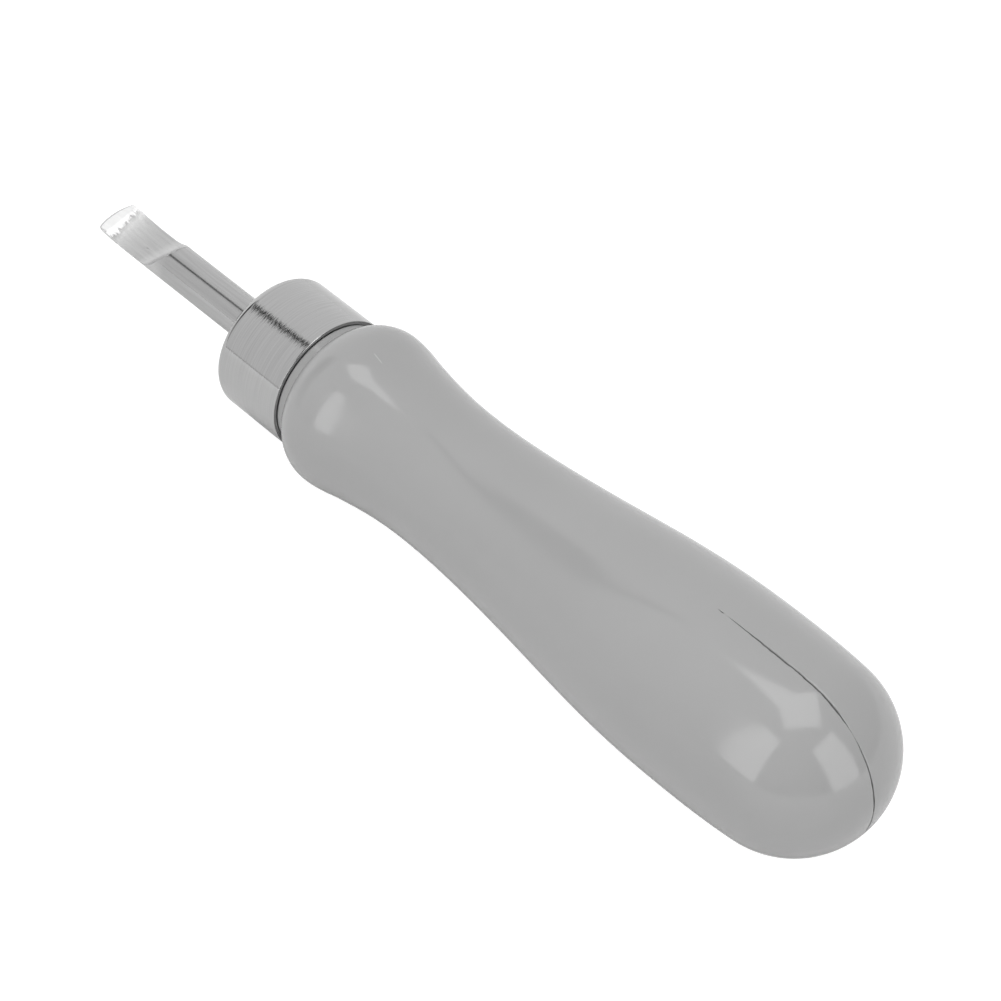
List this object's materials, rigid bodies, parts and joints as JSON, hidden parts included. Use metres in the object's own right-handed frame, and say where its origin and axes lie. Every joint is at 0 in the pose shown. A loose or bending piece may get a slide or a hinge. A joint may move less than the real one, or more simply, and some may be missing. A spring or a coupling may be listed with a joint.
{
  "type": "watch case back opener",
  "caption": "Hand tool with a short round steel blade, scooped to a thin curved edge, in a plated ferrule and a waisted two-part moulded handle.",
  "frame": {"origin": "on the tool's axis at the ferrule's front face, where the blade comes out", "axes": "+X along the blade towards its edge, +Z out of the scooped side of the blade, which leans 12 degrees about X towards +Y; the handle's two halves part on the XZ plane"},
  "size_m": [0.0987, 0.0184, 0.0184],
  "materials": {
    "tool_steel": "plated rod, scoop and wedge ground bright",
    "plated_steel": "bright plated, with faint turned lines",
    "handle_plastic": "glossy moulded, mid grey"
  },
  "bodies": {
    "root": {"blade": "tool_steel", "ferrule": "plated_steel", "handle_half_left": "handle_plastic", "handle_half_right": "handle_plastic"}
  },
  "joints": []
}
